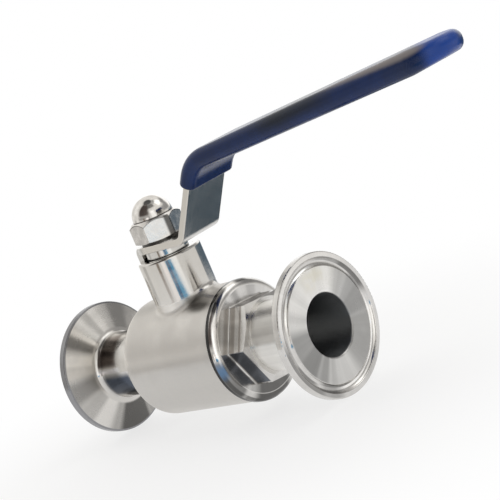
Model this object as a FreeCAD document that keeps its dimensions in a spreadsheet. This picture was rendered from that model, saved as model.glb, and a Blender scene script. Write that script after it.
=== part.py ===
import FreeCAD
import Part
import Sketcher
import math
import os

# Quarter-turn ball valve with a clamp ferrule at each end, lever open along the pipe. Millimetres.
# The origin is the ball's centre. X runs along the bore towards the screwed end cap, Z runs up the stem.

DRIVING = {
    # pipe ends
    "bore_diameter": 22.1,
    "tube_diameter": 25.0,
    "ferrule_diameter": 50.5,
    "rim_width": 2.7,
    "rim_rounding": 0.35,
    "back_angle": 20.0,
    "back_fillet": 2.0,
    "gasket_ring_diameter": 43.6,
    "gasket_ring_radius": 1.6,
    "gasket_ring_depth": 1.1,
    "gasket_ring_rounding": 0.3,
    "mouth_rounding": 0.8,
    "rear_reach": 56.5,
    "front_reach": 60.15,
    # body
    "body_diameter": 43.6,
    "body_front": 21.6,
    "body_rear": 25.0,
    "shoulder_rounding": 4.5,
    "shoulder_fillet": 3.0,
    "cavity_clearance": 0.7,
    "entry_chamfer": 0.6,
    # screw joint between body and end cap
    "thread_diameter": 39.0,
    "thread_clearance": 0.1,
    "gasket_seat": 8.4,
    "gasket_thickness": 1.2,
    "gasket_margin": 0.15,
    "relief_width": 1.6,
    "relief_depth": 0.9,
    # end cap
    "cap_gap": 0.3,
    "flange_diameter": 44.4,
    "flange_width": 3.5,
    "flange_rounding": 2.6,
    "wrench_width": 28.6,
    "wrench_face_diameter": 28.0,
    "wrench_chamfer_angle": 27.0,
    "wrench_length": 8.6,
    "wrench_turn_angle": 55.5,
    "wrench_rounding": 0.5,
    # ball and seats
    "ball_diameter": 34.0,
    "slot_depth": 4.2,
    "seat_diameter": 32.0,
    "seat_bore": 22.6,
    "seat_back": 15.5,
    "seat_front": 9.2,
    "seat_chamfer": 0.6,
    "seat_clearance": 0.05,
    # neck
    "neck_diameter": 23.8,
    "neck_top": 38.3,
    "neck_rounding": 0.9,
    "neck_fillet": 2.2,
    "recess_diameter": 18.8,
    "recess_floor": 34.5,
    "packing_diameter": 16.0,
    "packing_floor": 26.0,
    "collar_roof": 21.8,
    "stop_clearance": 0.05,
    # stem
    "stem_diameter": 12.0,
    "running_clearance": 0.05,
    "collar_diameter": 15.6,
    "collar_bottom": 17.6,
    "collar_top": 20.4,
    "tang_thickness": 6.0,
    "tang_clearance": 0.1,
    "flats_bottom": 40.6,
    "stud_diameter": 10.0,
    "stud_flats": 8.0,
    "stud_top": 55.0,
    "stud_chamfer": 1.0,
    "ring_groove_bottom": 23.0,
    "ring_groove_width": 1.9,
    "ring_section": 1.5,
    "washer_seal_clearance": 0.05,
    # packing
    "packing_rise": 1.0,
    "packing_ring_height": 2.0,
    # lever
    "strip_thickness": 2.5,
    "strip_width": 20.0,
    "strip_rounding": 0.3,
    "plate_bottom": 41.4,
    "tongue_reach": 10.8,
    "tongue_width": 10.0,
    "tongue_bottom": 35.2,
    "tongue_bend": 2.1,
    "upright_foot": 18.6,
    "upright_angle": 52.9,
    "upright_length": 31.4,
    "lower_bend": 4.0,
    "upper_bend": 17.0,
    "handle_angle": 5.0,
    "strip_end": 143.5,
    "hole_clearance": 0.05,
    # grip
    "grip_start": 22.6,
    "grip_width": 24.6,
    "grip_outer_wall": 1.3,
    "grip_inner_wall": 2.5,
    "grip_root_top": 3.6,
    "grip_root_bottom": 3.2,
    "grip_nose_top": 3.6,
    "grip_nose_bottom": 4.0,
    "grip_nose_length": 11.0,
    "grip_tip_half": 3.1,
    "grip_outer_bend": 17.5,
    "grip_inner_bend": 12.0,
    "grip_end": 149.6,
    "grip_tip_flat": 1.6,
    "grip_rounding": 3.0,
    "grip_mouth_rounding": 1.1,
    # nut and washer
    "washer_diameter": 15.6,
    "washer_thickness": 0.6,
    "washer_play": 0.3,
    "nut_width": 17.0,
    "nut_hexagon_height": 8.0,
    "nut_turn_angle": -12.0,
    "nut_face_diameter": 16.4,
    "nut_upper_angle": 45.0,
    "nut_lower_angle": 18.0,
    "nut_point_angle": 30.0,
    "dome_radius": 7.5,
    "dome_top": 60.2,
    "nut_clearance": 0.05,
    "nut_hole_spare": 0.5,
    "small_chamfer": 0.3,
}


class Size:
    """A length that carries both its value and the formula that gives it from the sheet's cells."""

    def __init__(self, value, text):
        self.value = value
        self.text = text

    def __add__(self, other):
        other = as_size(other)
        return Size(self.value + other.value, f"({self.text} + {other.text})")

    def __sub__(self, other):
        other = as_size(other)
        return Size(self.value - other.value, f"({self.text} - {other.text})")

    def __mul__(self, other):
        other = as_size(other)
        return Size(self.value * other.value, f"({self.text} * {other.text})")

    def __truediv__(self, other):
        other = as_size(other)
        return Size(self.value / other.value, f"({self.text} / {other.text})")

    def __neg__(self):
        return Size(-self.value, f"(-1 * {self.text})")


def as_size(number):
    return number if isinstance(number, Size) else Size(float(number), repr(float(number)))


def sine(angle):
    return Size(math.sin(math.radians(angle.value)), f"sin({angle.text})")


def cosine(angle):
    return Size(math.cos(math.radians(angle.value)), f"cos({angle.text})")


def tangent(angle):
    return Size(math.tan(math.radians(angle.value)), f"tan({angle.text})")


def root(square):
    return Size(math.sqrt(square.value), f"sqrt({square.text})")


class Sizes:
    """The spreadsheet of driving dimensions: each alias reads as a Size."""

    def __init__(self, doc, values):
        sheet = doc.addObject("Spreadsheet::Sheet", "Sizes")
        for row, (alias, value) in enumerate(values.items(), start=1):
            sheet.set(f"A{row}", str(value))
            sheet.setAlias(f"A{row}", alias)
            setattr(self, alias, Size(value, f"Sizes.{alias}"))


doc = FreeCAD.newDocument("ball_valve")
s = Sizes(doc, DRIVING)
doc.recompute()


# Sketches and features

def new_body(label):
    body = doc.addObject("PartDesign::Body", label)
    body.Label = label
    return body


def new_sketch(body, name, plane, offset=None):
    """An empty sketch on one of the body's origin planes, raised along the plane's normal by offset."""
    sketch = body.newObject("Sketcher::SketchObject", name)
    support = [o for o in body.Origin.OriginFeatures if o.Role == plane][0]
    sketch.AttachmentSupport = (support, [""])
    sketch.MapMode = "FlatFace"
    if offset is not None:
        sketch.setExpression(".AttachmentOffset.Base.z", offset.text)
    return sketch


def vector(point):
    return FreeCAD.Vector(as_size(point[0]).value, as_size(point[1]).value, 0)


def bind(sketch, kind, size, *where):
    """Adds a dimension and ties it to the sheet when its size comes from there."""
    size = as_size(size)
    number = sketch.addConstraint(Sketcher.Constraint(kind, *where, size.value))
    if "Sizes." in size.text:
        sketch.setExpression(f"Constraints[{number}]", size.text)


def place(sketch, element, end, point):
    """Fixes a sketch point by its two distances from the sketch's origin."""
    bind(sketch, "DistanceX", point[0], -1, 1, element, end)
    bind(sketch, "DistanceY", point[1], -1, 1, element, end)


def add_outline(sketch, corners):
    """A closed outline of straight lines through the corners."""
    first = sketch.GeometryCount
    count = len(corners)
    for n in range(count):
        sketch.addGeometry(Part.LineSegment(vector(corners[n]), vector(corners[(n + 1) % count])))
    for n in range(count):
        after = first + (n + 1) % count
        sketch.addConstraint(Sketcher.Constraint("Coincident", first + n, 2, after, 1))
        place(sketch, first + n, 1, corners[n])


def add_circle(sketch, centre, radius):
    circle = Part.Circle(vector(centre), FreeCAD.Vector(0, 0, 1), as_size(radius).value)
    element = sketch.addGeometry(circle)
    place(sketch, element, 3, centre)
    bind(sketch, "Radius", radius, element)


def hexagon(width, turn):
    """Corners of a regular hexagon given across its flats, the first one at the angle turn."""
    reach = corner_reach(width)
    angles = [turn + 60 * n for n in range(6)]
    return [(reach * cosine(a), reach * sine(a)) for a in angles]


def corner_reach(width):
    """A hexagon's corner radius from its width across the flats: half a side spans 30 degrees."""
    half_side_angle = as_size(30)
    return width / 2 / cosine(half_side_angle)


def checked(body, feature, grows):
    """Recomputes and makes sure that the feature added or removed material."""
    before = feature.BaseFeature.Shape.Volume if feature.BaseFeature else 0.0
    doc.recompute()
    change = feature.Shape.Volume - before
    if grows and change <= 0 or not grows and change >= 0:
        raise ValueError(f"{feature.Label} in {body.Label} changes the volume by {change:.4f}")
    return feature


def turned(body, name, corners, axis="H_Axis", cut=False, plane="XZ_Plane"):
    """Turns a closed outline about a sketch axis, to add material or to cut it."""
    sketch = new_sketch(body, name + "_outline", plane)
    add_outline(sketch, corners)
    return turn_sketch(body, name, sketch, axis, cut)


def turn_sketch(body, name, sketch, axis, cut):
    kind = "PartDesign::Groove" if cut else "PartDesign::Revolution"
    feature = body.newObject(kind, name)
    feature.Profile = sketch
    feature.ReferenceAxis = (sketch, [axis])
    feature.Angle = 360
    return checked(body, feature, not cut)


def extruded(body, name, sketch, length, cut=False, both_ways=False, reverse=False):
    feature = body.newObject("PartDesign::Pocket" if cut else "PartDesign::Pad", name)
    feature.Profile = sketch
    if both_ways:
        feature.SideType = "Symmetric"
    feature.Reversed = reverse
    length = as_size(length)
    feature.Length = length.value
    if "Sizes." in length.text:
        feature.setExpression("Length", length.text)
    return checked(body, feature, not cut)


def edge_names(shape, wanted):
    numbered = enumerate(shape.Edges, start=1)
    return [f"Edge{n}" for n, edge in numbered if not edge.Degenerated and wanted(edge)]


def dress(body, kind, name, size, wanted):
    """Rounds or chamfers the tip's edges that wanted() picks."""
    base = body.Tip
    names = edge_names(base.Shape, wanted)
    if not names:
        raise ValueError(f"{name} in {body.Label} finds no edge")
    feature = body.newObject("PartDesign::" + kind, name)
    feature.Base = (base, names)
    amount = "Radius" if kind == "Fillet" else "Size"
    setattr(feature, amount, size.value)
    feature.setExpression(amount, size.text)
    doc.recompute()
    return feature


def ring_edge(axis, at, radius):
    """Picks the full circles about an axis (0 for X, 2 for Z) that lie at a height and have a radius."""
    def wanted(edge):
        curve = edge.Curve
        if not isinstance(curve, Part.Circle) or not edge.isClosed():
            return False
        centre = list(curve.Center)
        off_axis = math.hypot(*[c for n, c in enumerate(centre) if n != axis])
        near = abs(centre[axis] - as_size(at).value) < 0.01 and off_axis < 0.01
        return near and abs(curve.Radius - as_size(radius).value) < 0.01 and abs(curve.Axis[axis]) > 0.99
    return wanted


# Clamp ferrules

def ferrule_back(side, reach):
    """Outline points of the ferrule from the tube to its face, side -1 for the rear and 1 for the front."""
    rim = s.ferrule_diameter / 2
    tube = s.tube_diameter / 2
    edge = reach - s.rim_width
    root_at = edge - (rim - tube) * tangent(s.back_angle)
    return [(side * root_at, tube), (side * edge, rim), (side * reach, rim)], side * root_at


def finish_ferrule(body, side, reach):
    """Rounds the ferrule's rim and back, cuts its sealing groove and rounds the groove and the mouth."""
    place_of_back = ferrule_back(side, reach)[1]
    face = side * reach
    dress(body, "Fillet", "back_fillet", s.back_fillet, ring_edge(0, place_of_back, s.tube_diameter / 2))
    edge = side * (reach - s.rim_width)
    rim = s.ferrule_diameter / 2

    def rim_edges(candidate):
        return ring_edge(0, face, rim)(candidate) or ring_edge(0, edge, rim)(candidate)

    dress(body, "Fillet", "rim_rounding", s.rim_rounding, rim_edges)
    groove = new_sketch(body, "gasket_groove_outline", "XZ_Plane")
    centre = face + side * (s.gasket_ring_radius - s.gasket_ring_depth)
    add_circle(groove, (centre, s.gasket_ring_diameter / 2), s.gasket_ring_radius)
    turn_sketch(body, "gasket_groove", groove, "H_Axis", True)
    above = s.gasket_ring_radius - s.gasket_ring_depth
    half = as_size(math.sqrt(s.gasket_ring_radius.value ** 2 - above.value ** 2))

    def groove_edges(candidate):
        middle = s.gasket_ring_diameter / 2
        return ring_edge(0, face, middle + half)(candidate) or ring_edge(0, face, middle - half)(candidate)

    dress(body, "Fillet", "gasket_groove_rounding", s.gasket_ring_rounding, groove_edges)
    dress(body, "Fillet", "mouth_rounding", s.mouth_rounding, ring_edge(0, face, s.bore_diameter / 2))


# Valve body

def make_valve_body():
    """Rear ferrule, tube, round body and neck in one piece, bored for the cap, seat, ball and stem."""
    body = new_body("valve_body")
    side = as_size(-1)
    ferrule = ferrule_back(side, s.rear_reach)[0]
    radius = s.body_diameter / 2
    tube = s.tube_diameter / 2
    zero = as_size(0)
    outline = [(s.body_front, zero), (s.body_front, radius), (-s.body_rear, radius), (-s.body_rear, tube)]
    outline += ferrule + [(-s.rear_reach, zero)]
    turned(body, "turned_outside", outline, plane="XY_Plane")
    dress(body, "Fillet", "shoulder_rounding", s.shoulder_rounding, ring_edge(0, -s.body_rear, radius))
    dress(body, "Fillet", "shoulder_fillet", s.shoulder_fillet, ring_edge(0, -s.body_rear, tube))

    sketch = new_sketch(body, "neck_outline", "XY_Plane")
    add_circle(sketch, (0, 0), s.neck_diameter / 2)
    extruded(body, "neck", sketch, s.neck_top)
    neck_radius = s.neck_diameter.value / 2

    def neck_root(edge):
        return isinstance(edge.Curve, Part.BSplineCurve)

    dress(body, "Fillet", "neck_fillet", s.neck_fillet, neck_root)
    dress(body, "Fillet", "neck_rounding", s.neck_rounding, ring_edge(2, s.neck_top, neck_radius))

    bore = s.bore_diameter / 2
    seat = s.seat_diameter / 2 + s.thread_clearance / 2
    cavity = s.ball_diameter / 2 + s.cavity_clearance
    thread = s.thread_diameter / 2
    inside = [
        (-s.rear_reach, zero), (-s.rear_reach, bore), (-s.seat_back, bore), (-s.seat_back, seat),
        (-s.seat_front, seat), (-s.seat_front, cavity), (s.gasket_seat, cavity), (s.gasket_seat, thread),
        (s.body_front - s.entry_chamfer, thread), (s.body_front, thread + s.entry_chamfer),
        (s.body_front, zero),
    ]
    turned(body, "flow_passage", inside, cut=True)

    stem = s.stem_diameter / 2 + s.running_clearance
    collar = s.collar_diameter / 2 + s.running_clearance
    packing = s.packing_diameter / 2
    recess = s.recess_diameter / 2
    up = [
        (zero, zero), (collar, zero), (collar, s.collar_roof), (stem, s.collar_roof),
        (stem, s.packing_floor), (packing, s.packing_floor), (packing, s.recess_floor),
        (recess, s.recess_floor), (recess, s.neck_top), (zero, s.neck_top),
    ]
    turned(body, "stem_passage", up, axis="V_Axis", cut=True)

    # The tongue's sides meet the walls that this cut leaves, one at open and one at closed.
    wall = s.tongue_width / 2 + s.stop_clearance
    outer = s.neck_diameter
    notch = new_sketch(body, "stop_notch_outline", "XY_Plane", s.recess_floor)
    add_outline(notch, [(-outer, -wall), (wall, -wall), (wall, outer), (-outer, outer)])
    extruded(body, "stop_notch", notch, s.neck_top - s.recess_floor, cut=True, reverse=True)
    finish_ferrule(body, side, s.rear_reach)
    return body


# End cap

def make_end_cap():
    """Threaded spigot, flange, hexagon, tube and front ferrule in one piece."""
    body = new_body("end_cap")
    side = as_size(1)
    zero = as_size(0)
    ferrule = ferrule_back(side, s.front_reach)[0]
    spigot = s.thread_diameter / 2 - s.thread_clearance
    spigot_end = s.gasket_seat + s.gasket_thickness
    flange_back = s.body_front + s.cap_gap
    flange_face = flange_back + s.flange_width
    flange = s.flange_diameter / 2
    tube = s.tube_diameter / 2
    outline = [
        (spigot_end, zero), (spigot_end, spigot - s.entry_chamfer), (spigot_end + s.entry_chamfer, spigot),
        (flange_back - s.relief_width, spigot), (flange_back - s.relief_width, spigot - s.relief_depth),
        (flange_back, spigot - s.relief_depth), (flange_back, flange), (flange_face, flange),
        (flange_face, tube),
    ]
    outline += ferrule + [(s.front_reach, zero)]
    turned(body, "turned_outside", outline)
    dress(body, "Fillet", "flange_rounding", s.flange_rounding, ring_edge(0, flange_face, flange))

    hexagon_sketch = new_sketch(body, "wrench_hexagon_outline", "YZ_Plane", flange_face)
    add_outline(hexagon_sketch, hexagon(s.wrench_width, s.wrench_turn_angle))
    extruded(body, "wrench_hexagon", hexagon_sketch, s.wrench_length)
    low = flange_face.value
    high = low + s.wrench_length.value
    corner = corner_reach(s.wrench_width).value

    def radial(edge):
        return [math.hypot(v.Y, v.Z) for v in edge.Vertexes]

    def wrench_corner(edge):
        spans = abs(edge.BoundBox.XMin - low) < 0.01 and abs(edge.BoundBox.XMax - high) < 0.01
        return spans and all(abs(r - corner) < 0.01 for r in radial(edge))

    dress(body, "Fillet", "wrench_corner_rounding", s.wrench_rounding, wrench_corner)

    def wrench_root(edge):
        at_root = edge.BoundBox.XLength < 0.01 and abs(edge.BoundBox.XMin - low) < 0.01
        return at_root and all(s.wrench_width.value / 2 < r < corner for r in radial(edge))

    dress(body, "Fillet", "wrench_root_fillet", s.wrench_rounding, wrench_root)
    face = s.wrench_face_diameter / 2
    front = flange_face + s.wrench_length
    drop = (s.wrench_width - face) * tangent(s.wrench_chamfer_angle)
    turned(
        body, "wrench_chamfer", [(front, face), (front, s.wrench_width), (front - drop, s.wrench_width)],
        cut=True,
    )

    bore = s.bore_diameter / 2
    seat = s.seat_diameter / 2 + s.thread_clearance / 2
    inside = [
        (spigot_end, zero), (spigot_end, seat), (s.seat_back, seat), (s.seat_back, bore),
        (s.front_reach, bore), (s.front_reach, zero),
    ]
    turned(body, "flow_passage", inside, cut=True)
    finish_ferrule(body, side, s.front_reach)
    return body


# Ball, seats and body gasket

def make_ball():
    """Sphere with the bore through it and the stem slot across its top, square to the bore."""
    radius = s.ball_diameter / 2
    sphere = doc.addObject("Part::Sphere", "ball_sphere")
    sphere.setExpression("Radius", radius.text)
    bore = doc.addObject("Part::Cylinder", "ball_bore")
    bore.setExpression("Radius", (s.bore_diameter / 2).text)
    bore.setExpression("Height", s.ball_diameter.text)
    bore.Placement.Rotation = FreeCAD.Rotation(FreeCAD.Vector(0, 1, 0), 90)
    bore.setExpression(".Placement.Base.x", (-radius).text)
    slot = doc.addObject("Part::Box", "ball_slot")
    width = s.tang_thickness + s.tang_clearance * 2
    slot.setExpression("Length", width.text)
    slot.setExpression("Width", s.ball_diameter.text)
    slot.setExpression("Height", s.ball_diameter.text)
    slot.setExpression(".Placement.Base.x", (-width / 2).text)
    slot.setExpression(".Placement.Base.y", (-radius).text)
    slot.setExpression(".Placement.Base.z", (radius - s.slot_depth).text)
    tools = doc.addObject("Part::MultiFuse", "ball_cuts")
    tools.Shapes = [bore, slot]
    ball = doc.addObject("Part::Cut", "ball")
    ball.Base = sphere
    ball.Tool = tools
    ball.Label = "ball"
    return ball


def make_seat(label, side):
    """Seat ring with a spherical face towards the ball, side -1 for the rear and 1 for the front."""
    body = new_body(label)
    inner = s.seat_bore / 2
    outer = s.seat_diameter / 2
    back = s.seat_back * side
    front = s.seat_front * side
    inset = s.seat_chamfer * side
    outline = [
        (front, inner), (front, outer), (back - inset, outer), (back, outer - s.seat_chamfer),
        (back, inner),
    ]
    turned(body, "ring", outline)
    sketch = new_sketch(body, "ball_face_outline", "XZ_Plane")
    radius = s.ball_diameter / 2 + s.seat_clearance
    half_round(sketch, radius)
    turn_sketch(body, "ball_face", sketch, "H_Axis", True)
    return body


def half_round(sketch, radius):
    """A half disc above the sketch's horizontal axis, centred on the origin."""
    centre = FreeCAD.Vector(0, 0, 0)
    circle = Part.Circle(centre, FreeCAD.Vector(0, 0, 1), radius.value)
    arc = sketch.addGeometry(Part.ArcOfCircle(circle, 0, math.pi))
    ends = [FreeCAD.Vector(-radius.value, 0, 0), FreeCAD.Vector(radius.value, 0, 0)]
    line = sketch.addGeometry(Part.LineSegment(*ends))
    sketch.addConstraint(Sketcher.Constraint("Coincident", arc, 3, -1, 1))
    sketch.addConstraint(Sketcher.Constraint("Coincident", arc, 2, line, 1))
    sketch.addConstraint(Sketcher.Constraint("Coincident", arc, 1, line, 2))
    sketch.addConstraint(Sketcher.Constraint("PointOnObject", line, 1, -1))
    sketch.addConstraint(Sketcher.Constraint("PointOnObject", line, 2, -1))
    bind(sketch, "Radius", radius, arc)


def make_body_gasket():
    """Flat ring between the body's inner shoulder and the end of the cap's spigot."""
    body = new_body("body_gasket")
    inner = s.ball_diameter / 2 + s.cavity_clearance + s.gasket_margin
    outer = s.thread_diameter / 2 - s.gasket_margin
    back = s.gasket_seat
    front = s.gasket_seat + s.gasket_thickness
    turned(body, "ring", [(back, inner), (back, outer), (front, outer), (front, inner)])
    return body


# Stem and its seals

def make_stem():
    """Tang, blow-out-proof collar, shaft with the seal's groove, flats for the lever and threaded stud."""
    body = new_body("stem")
    zero = as_size(0)
    shaft = s.stem_diameter / 2
    collar = s.collar_diameter / 2
    stud = s.stud_diameter / 2
    groove = shaft + s.running_clearance - s.ring_section
    groove_top = s.ring_groove_bottom + s.ring_groove_width
    outline = [
        (zero, s.collar_bottom), (collar, s.collar_bottom), (collar, s.collar_top), (shaft, s.collar_top),
        (shaft, s.ring_groove_bottom), (groove, s.ring_groove_bottom), (groove, groove_top),
        (shaft, groove_top), (shaft, s.flats_bottom), (stud, s.flats_bottom),
        (stud, s.stud_top - s.stud_chamfer), (stud - s.stud_chamfer, s.stud_top), (zero, s.stud_top),
    ]
    turned(body, "shaft", outline, axis="V_Axis")

    # The tang stops short of the slot's floor and has the shaft's round ends.
    tang_bottom = s.ball_diameter / 2 - s.slot_depth + s.tang_clearance
    sketch = new_sketch(body, "tang_outline", "XY_Plane", tang_bottom)
    add_flatted_round(sketch, shaft, s.tang_thickness / 2, True)
    extruded(body, "tang", sketch, s.collar_bottom - tang_bottom)

    flat = s.stud_flats / 2
    far = s.stem_diameter
    sketch = new_sketch(body, "lever_flats_outline", "XY_Plane", s.flats_bottom)
    for sign in (1, -1):
        corners = [(-far, flat * sign), (far, flat * sign), (far, far * sign), (-far, far * sign)]
        add_outline(sketch, corners)
    flats = plate_top() + s.washer_thickness - s.flats_bottom
    extruded(body, "lever_flats", sketch, flats, cut=True, reverse=True)
    return body


def add_flatted_round(sketch, radius, half, sideways):
    """A circle cut by two flats at half from its centre, along X if sideways and along Y if not."""
    turn = 0 if sideways else math.pi / 2
    lean = math.acos(half.value / radius.value)
    circle = Part.Circle(FreeCAD.Vector(0, 0, 0), FreeCAD.Vector(0, 0, 1), radius.value)
    spans = [(turn + lean, turn + math.pi - lean), (turn + math.pi + lean, turn + 2 * math.pi - lean)]
    arcs = [sketch.addGeometry(Part.ArcOfCircle(circle, *span)) for span in spans]
    for n, arc in enumerate(arcs):
        sketch.addConstraint(Sketcher.Constraint("Coincident", arc, 3, -1, 1))
        bind(sketch, "Radius", radius, arc)
        other = arcs[1 - n]
        ends = sketch.getPoint(arc, 2), sketch.getPoint(other, 1)
        line = sketch.addGeometry(Part.LineSegment(*ends))
        sketch.addConstraint(Sketcher.Constraint("Coincident", arc, 2, line, 1))
        sketch.addConstraint(Sketcher.Constraint("Coincident", line, 2, other, 1))
        sketch.addConstraint(Sketcher.Constraint("Vertical" if sideways else "Horizontal", line))
        offset = -half if n == 0 else half
        bind(sketch, "DistanceX" if sideways else "DistanceY", offset, -1, 1, line, 1)


def make_thrust_washer():
    """Flat ring between the stem's collar and the roof of its pocket."""
    body = new_body("thrust_washer")
    inner = s.stem_diameter / 2 + s.running_clearance
    outer = s.collar_diameter / 2
    low = s.collar_top + s.washer_seal_clearance
    corners = [(inner, low), (outer, low), (outer, s.collar_roof), (inner, s.collar_roof)]
    turned(body, "ring", corners, axis="V_Axis")
    return body


def make_stem_ring():
    """Round-section ring in the stem's groove, just clear of the bore that it seals."""
    body = new_body("stem_o_ring")
    section = s.ring_section / 2 - s.running_clearance / 2
    centre = s.stem_diameter / 2 + s.running_clearance - s.ring_section / 2
    height = s.ring_groove_bottom + s.ring_groove_width / 2
    sketch = new_sketch(body, "section", "XZ_Plane")
    add_circle(sketch, (centre, height), section)
    turn_sketch(body, "ring", sketch, "V_Axis", False)
    return body


def make_packing_ring(label, bottom, ridge_below, ridge_above):
    """One chevron ring: its faces rise to a ridge at mid wall, or stay flat where it meets the gland."""
    body = new_body(label)
    inner = s.stem_diameter / 2 + s.running_clearance
    outer = s.packing_diameter / 2 - s.running_clearance / 2
    middle = (inner + outer) / 2
    top = bottom + s.packing_ring_height
    lift = s.packing_rise
    corners = [(inner, bottom), (inner, top), (middle, top + lift), (outer, top), (outer, bottom)]
    if not ridge_above:
        corners = [(inner, bottom), (inner, top + lift), (outer, top + lift), (outer, bottom)]
    if ridge_below:
        corners.append((middle, bottom + lift))
    turned(body, "ring", corners, axis="V_Axis")
    return body


def make_gland():
    """Round gland that the lever's plate presses on to the packing."""
    body = new_body("packing_gland")
    inner = s.stem_diameter / 2 + s.running_clearance
    outer = s.packing_diameter / 2 - s.running_clearance * 2
    low = s.packing_floor + s.packing_ring_height * 3 + s.packing_rise + s.washer_seal_clearance
    chamfer = s.small_chamfer
    corners = [
        (inner, low), (outer - chamfer, low), (outer, low + chamfer), (outer, s.plate_bottom - chamfer),
        (outer - chamfer, s.plate_bottom), (inner, s.plate_bottom),
    ]
    turned(body, "bush", corners, axis="V_Axis")
    return body


# Lever and grip

def unit(a, b):
    dx = b[0].value - a[0].value
    dy = b[1].value - a[1].value
    length = math.hypot(dx, dy)
    return dx / length, dy / length


def bent_path(body, name, corners, radii):
    """Open sketch path on the XZ plane: straight runs between the corners, joined by tangent arcs."""
    sketch = new_sketch(body, name, "XZ_Plane")
    guides = []
    for a, b in zip(corners, corners[1:]):
        guide = sketch.addGeometry(Part.LineSegment(vector(a), vector(b)), True)
        if guides:
            sketch.addConstraint(Sketcher.Constraint("Coincident", guides[-1], 2, guide, 1))
        guides.append(guide)
        place(sketch, guide, 1, a)
    place(sketch, guides[-1], 2, corners[-1])

    starts = [vector(corners[0])]
    stops = []
    arcs = []
    for before, corner, after, radius in zip(corners, corners[1:], corners[2:], radii):
        back = unit(corner, before)
        ahead = unit(corner, after)
        half = math.acos(back[0] * ahead[0] + back[1] * ahead[1]) / 2
        reach = radius.value / math.tan(half)
        middle = FreeCAD.Vector(back[0] + ahead[0], back[1] + ahead[1], 0).normalize()
        tip = vector(corner)
        one = tip + FreeCAD.Vector(*back, 0) * reach
        two = tip + FreeCAD.Vector(*ahead, 0) * reach
        crown = tip + middle * (radius.value / math.sin(half) - radius.value)
        stops.append(one)
        starts.append(two)
        arcs.append(Part.Arc(one, crown, two))
    stops.append(vector(corners[-1]))

    runs = [sketch.addGeometry(Part.LineSegment(one, two)) for one, two in zip(starts, stops)]
    for n, arc in enumerate(arcs):
        element = sketch.addGeometry(arc)
        first = sketch.getPoint(element, 1).distanceToPoint(stops[n]) < 1e-4
        near, far = (1, 2) if first else (2, 1)
        sketch.addConstraint(Sketcher.Constraint("Tangent", runs[n], 2, element, near))
        sketch.addConstraint(Sketcher.Constraint("Tangent", element, far, runs[n + 1], 1))
        bind(sketch, "Radius", radii[n], element)
    sketch.addConstraint(Sketcher.Constraint("Coincident", runs[0], 1, guides[0], 1))
    sketch.addConstraint(Sketcher.Constraint("Coincident", runs[-1], 2, guides[-1], 2))
    for n, run in enumerate(runs):
        if n > 0:
            sketch.addConstraint(Sketcher.Constraint("PointOnObject", run, 1, guides[n]))
        if n < len(runs) - 1:
            sketch.addConstraint(Sketcher.Constraint("PointOnObject", run, 2, guides[n]))
    return sketch


def swept(body, name, section, path, cut=False):
    feature = body.newObject("PartDesign::SubtractivePipe" if cut else "PartDesign::AdditivePipe", name)
    feature.Profile = section
    feature.Spine = (path, [f"Edge{n}" for n in range(1, len(path.Shape.Edges) + 1)])
    return checked(body, feature, not cut)


def plate_middle():
    return s.plate_bottom + s.strip_thickness / 2


def plate_top():
    return s.plate_bottom + s.strip_thickness


def up_the_upright(length):
    """The upright's centre line at a length from where it would meet the plate's."""
    foot = s.upright_foot + length * cosine(s.upright_angle)
    return (foot, plate_middle() + length * sine(s.upright_angle))


def along_handle(reach):
    """The handle's centre line at a distance along X."""
    corner = up_the_upright(s.upright_length)
    return (reach, corner[1] + (reach - corner[0]) * tangent(s.handle_angle))


def make_lever():
    """Strip bent down at the rear into the stop tongue and up at the front into the handle."""
    body = new_body("lever")
    thickness = s.strip_thickness / 2
    tongue_at = -(s.tongue_reach - thickness)
    corners = [
        (tongue_at, s.tongue_bottom), (tongue_at, plate_middle()), (s.upright_foot, plate_middle()),
        up_the_upright(s.upright_length), along_handle(s.strip_end),
    ]
    path = bent_path(body, "strip_path", corners, [s.tongue_bend, s.lower_bend, s.upper_bend])
    half = s.strip_width / 2
    section = new_sketch(body, "strip_section", "XY_Plane", s.tongue_bottom)
    low = tongue_at - thickness
    high = tongue_at + thickness
    add_outline(section, [(low, -half), (high, -half), (high, half), (low, half)])
    doc.recompute()
    swept(body, "strip", section, path)

    def outer_corner(edge):
        return edge.BoundBox.YLength < 0.01 and abs(abs(edge.BoundBox.YMin) - half.value) < 0.01

    dress(body, "Fillet", "edge_rounding", s.strip_rounding, outer_corner)

    # Behind the stem the plate is round, and only the tongue runs on.
    zero = as_size(0)
    side = s.tongue_width / 2
    shoulder = root(half * half - side * side)
    beyond = s.tongue_reach * 2
    outside = half * 2
    sketch = new_sketch(body, "rear_trim_outline", "XY_Plane")
    for sign in (1, -1):
        add_trim(sketch, sign, half, side, shoulder, beyond, outside, zero)
    extruded(body, "rear_trim", sketch, plate_middle() * 4, cut=True, both_ways=True)

    # Below the plate the strip is no wider than the tongue.
    sketch = new_sketch(body, "tongue_trim_outline", "XY_Plane", s.tongue_bottom)
    for sign in (1, -1):
        add_outline(sketch, [
            (-beyond, side * sign), (zero, side * sign), (zero, outside * sign), (-beyond, outside * sign),
        ])
    extruded(body, "tongue_trim", sketch, s.plate_bottom - s.tongue_bottom, cut=True, reverse=True)

    sketch = new_sketch(body, "stem_hole_outline", "XY_Plane", s.plate_bottom)
    add_flatted_round(
        sketch, s.stud_diameter / 2 + s.hole_clearance, s.stud_flats / 2 + s.hole_clearance, False
    )
    extruded(body, "stem_hole", sketch, s.strip_thickness, cut=True, reverse=True)
    return body


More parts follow.
